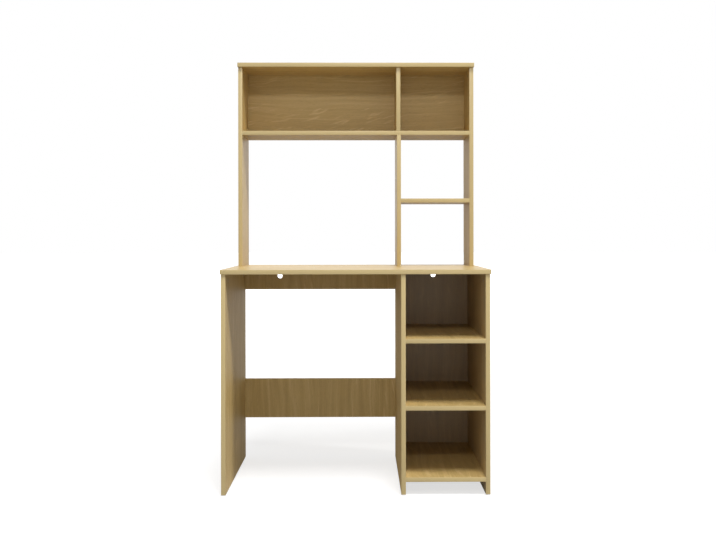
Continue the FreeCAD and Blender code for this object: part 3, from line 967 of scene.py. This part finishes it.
def add_lamp(stage, name):
    """Square lamp aimed at the desk, as bright as its strength says."""
    strength, elevation, azimuth, size = (
        getattr(stage, f"{name}_{part}") for part in ("strength", "elevation", "azimuth", "size"))
    distance = stage.front_distance if name == "front" else stage.lamp_distance
    away = Vector((math.sin(azimuth) * math.cos(elevation),
                   -math.cos(azimuth) * math.cos(elevation), math.sin(elevation)))
    light = bpy.data.lights.new(name.capitalize() + " light", "AREA")
    light.shape = "SQUARE"
    light.size = size
    light.energy = strength * math.pi ** 2 * distance ** 2
    lamp = new_object(light.name, light)
    lamp.location = AIM + away * distance
    lamp.rotation_mode = "QUATERNION"
    lamp.rotation_quaternion = away.to_track_quat("Z", "Y")
    return lamp


def looked_at(graph, mirrored=1.0):
    """1 where the camera looks, a share of it by way of a shiny or clear surface, 0 for light."""
    path = graph.node("ShaderNodeLightPath").outputs
    by_way = graph.math("MAXIMUM", path["Is Glossy Ray"], path["Is Transmission Ray"])
    return graph.math("MAXIMUM", path["Is Camera Ray"], graph.math("MULTIPLY", by_way, mirrored))


def build_floor(stage):
    """Pale floor that keeps the desk's shadow."""
    bm = bmesh.new()
    bmesh.ops.create_circle(bm, cap_ends=True, radius=FLOOR_RADIUS, segments=FLOOR_SIDES)
    floor = new_object("floor", bm)
    floor.location.z = -FLOOR_DROP
    made = bpy.data.materials.new("Floor")
    graph = emptied(made)
    away = graph.node("ShaderNodeVectorMath", {"Vector": graph.place()}, operation="LENGTH")
    shine = graph.span(away.outputs["Value"], *GLOW_RISE, stage.floor_glow, 1.0)
    seen = graph.math("MULTIPLY", looked_at(graph, stage.floor_mirrored), shine)
    diffuse = graph.node("ShaderNodeBsdfDiffuse", {"Color": stage.floor})
    glow = graph.node("ShaderNodeEmission", {"Color": (1.0, 1.0, 1.0), "Strength": seen})
    both = graph.node("ShaderNodeAddShader", {0: diffuse.outputs[0], 1: glow.outputs[0]})
    graph.node("ShaderNodeOutputMaterial", {"Surface": both.outputs[0]})
    floor.data.materials.append(made)


def build_world(stage):
    """White to look at and to reflect, and a weaker light on the desk."""
    world = bpy.data.worlds.new("Studio")
    graph = emptied(world)
    shown = graph.mix(looked_at(graph), stage.ambient, (1.0, 1.0, 1.0))
    background = graph.node("ShaderNodeBackground", {"Color": shown, "Strength": 1.0})
    graph.node("ShaderNodeOutputWorld", {"Surface": background.outputs[0]})
    world.cycles.sampling_method = "NONE"
    bpy.context.scene.world = world


def build_camera(stage):
    """Camera in front of the desk, level, with its lens shifted."""
    data = bpy.data.cameras.new("Camera")
    data.sensor_width = SENSOR
    data.lens = stage.lens
    data.shift_x, data.shift_y = stage.shift
    camera = new_object("Camera", data)
    camera.location = stage.camera_place
    camera.rotation_euler = Euler(stage.camera_turn)
    bpy.context.scene.camera = camera


def set_stage():
    stage = bpy.context.scene.desk.stage
    build_floor(stage)
    build_world(stage)
    build_camera(stage)
    for name in ("key", "side", "front", "back"):
        lamp = add_lamp(stage, name)
    lamp.visible_glossy = False  # or the back light would glare along the desktop
    bpy.context.scene.view_settings.view_transform = "Standard"


class DESK_OT_finish_desk_boards(Operator):
    """Cover the desktop, uprights and rails with oak foil"""
    bl_idname = "desk.finish_desk_boards"
    bl_label = "Finish Desk Boards"

    def execute(self, context):
        finish_boards(DESK_BOARDS)
        return {"FINISHED"}


class DESK_OT_finish_pedestal_boards(Operator):
    """Cover the pedestal's back and shelves with oak foil"""
    bl_idname = "desk.finish_pedestal_boards"
    bl_label = "Finish Pedestal Boards"

    def execute(self, context):
        finish_boards(PEDESTAL_BOARDS)
        return {"FINISHED"}


class DESK_OT_finish_hutch_boards(Operator):
    """Cover the hutch's sides, top, shelves, dividers and back with oak foil"""
    bl_idname = "desk.finish_hutch_boards"
    bl_label = "Finish Hutch Boards"

    def execute(self, context):
        finish_boards(HUTCH_BOARDS)
        return {"FINISHED"}


class DESK_OT_build_edging(Operator):
    """Lay rounded edge bands on the boards' edges"""
    bl_idname = "desk.build_edging"
    bl_label = "Build Edge Bands"

    def execute(self, context):
        build_edging()
        return {"FINISHED"}


class DESK_OT_build_cam_locks(Operator):
    """Set round cam locks in their bores"""
    bl_idname = "desk.build_cam_locks"
    bl_label = "Build Cam Locks"

    def execute(self, context):
        build_cam_locks()
        return {"FINISHED"}


class DESK_OT_build_cam_bolts(Operator):
    """Set threaded bolts that reach into the cam locks"""
    bl_idname = "desk.build_cam_bolts"
    bl_label = "Build Cam Bolts"

    def execute(self, context):
        build_cam_bolts()
        return {"FINISHED"}


class DESK_OT_build_dowels(Operator):
    """Set fluted dowels across the joints"""
    bl_idname = "desk.build_dowels"
    bl_label = "Build Dowels"

    def execute(self, context):
        build_dowels()
        return {"FINISHED"}


class DESK_OT_build_screws(Operator):
    """Set the screws that hold the hutch on the desktop"""
    bl_idname = "desk.build_screws"
    bl_label = "Build Hutch Screws"

    def execute(self, context):
        build_screws()
        return {"FINISHED"}


class DESK_OT_build_glides(Operator):
    """Nail glides under the uprights"""
    bl_idname = "desk.build_glides"
    bl_label = "Build Glides"

    def execute(self, context):
        build_glides()
        return {"FINISHED"}


class DESK_OT_set_stage(Operator):
    """Make the floor, the lights, the surroundings and the camera"""
    bl_idname = "desk.set_stage"
    bl_label = "Set Stage"

    def execute(self, context):
        set_stage()
        return {"FINISHED"}


OPERATORS = (
    DESK_OT_finish_desk_boards,
    DESK_OT_finish_pedestal_boards,
    DESK_OT_finish_hutch_boards,
    DESK_OT_build_edging,
    DESK_OT_build_cam_locks,
    DESK_OT_build_cam_bolts,
    DESK_OT_build_dowels,
    DESK_OT_build_screws,
    DESK_OT_build_glides,
    DESK_OT_set_stage,
)


class DESK_PT_pieces(Panel):
    """Pieces and finishes of the desk"""
    bl_idname = "DESK_PT_pieces"
    bl_label = "Student Desk with Hutch"
    bl_space_type = "VIEW_3D"
    bl_region_type = "UI"
    bl_category = "Desk"

    def draw(self, context):
        settings = context.scene.desk
        for operator in OPERATORS:
            self.layout.operator(operator.bl_idname)
        for group in (settings.oak, settings.band, settings.fittings, settings.stage):
            box = self.layout.box()
            for name in group.bl_rna.properties.keys():
                if name not in ("rna_type", "name"):
                    box.prop(group, name)


CLASSES = (OakFinish, EdgeBand, Fittings, Stage, DeskSettings, *OPERATORS, DESK_PT_pieces)


def register():
    for cls in CLASSES:
        bpy.utils.register_class(cls)
    bpy.types.Scene.desk = PointerProperty(type=DeskSettings, name="Desk",
                                           description="Finishes of the desk")


def unregister():
    del bpy.types.Scene.desk
    for cls in reversed(CLASSES):
        bpy.utils.unregister_class(cls)


def main():
    register()
    for operator in OPERATORS:
        group, name = operator.bl_idname.split(".")
        getattr(getattr(bpy.ops, group), name)()


if __name__ == "__main__":
    main()
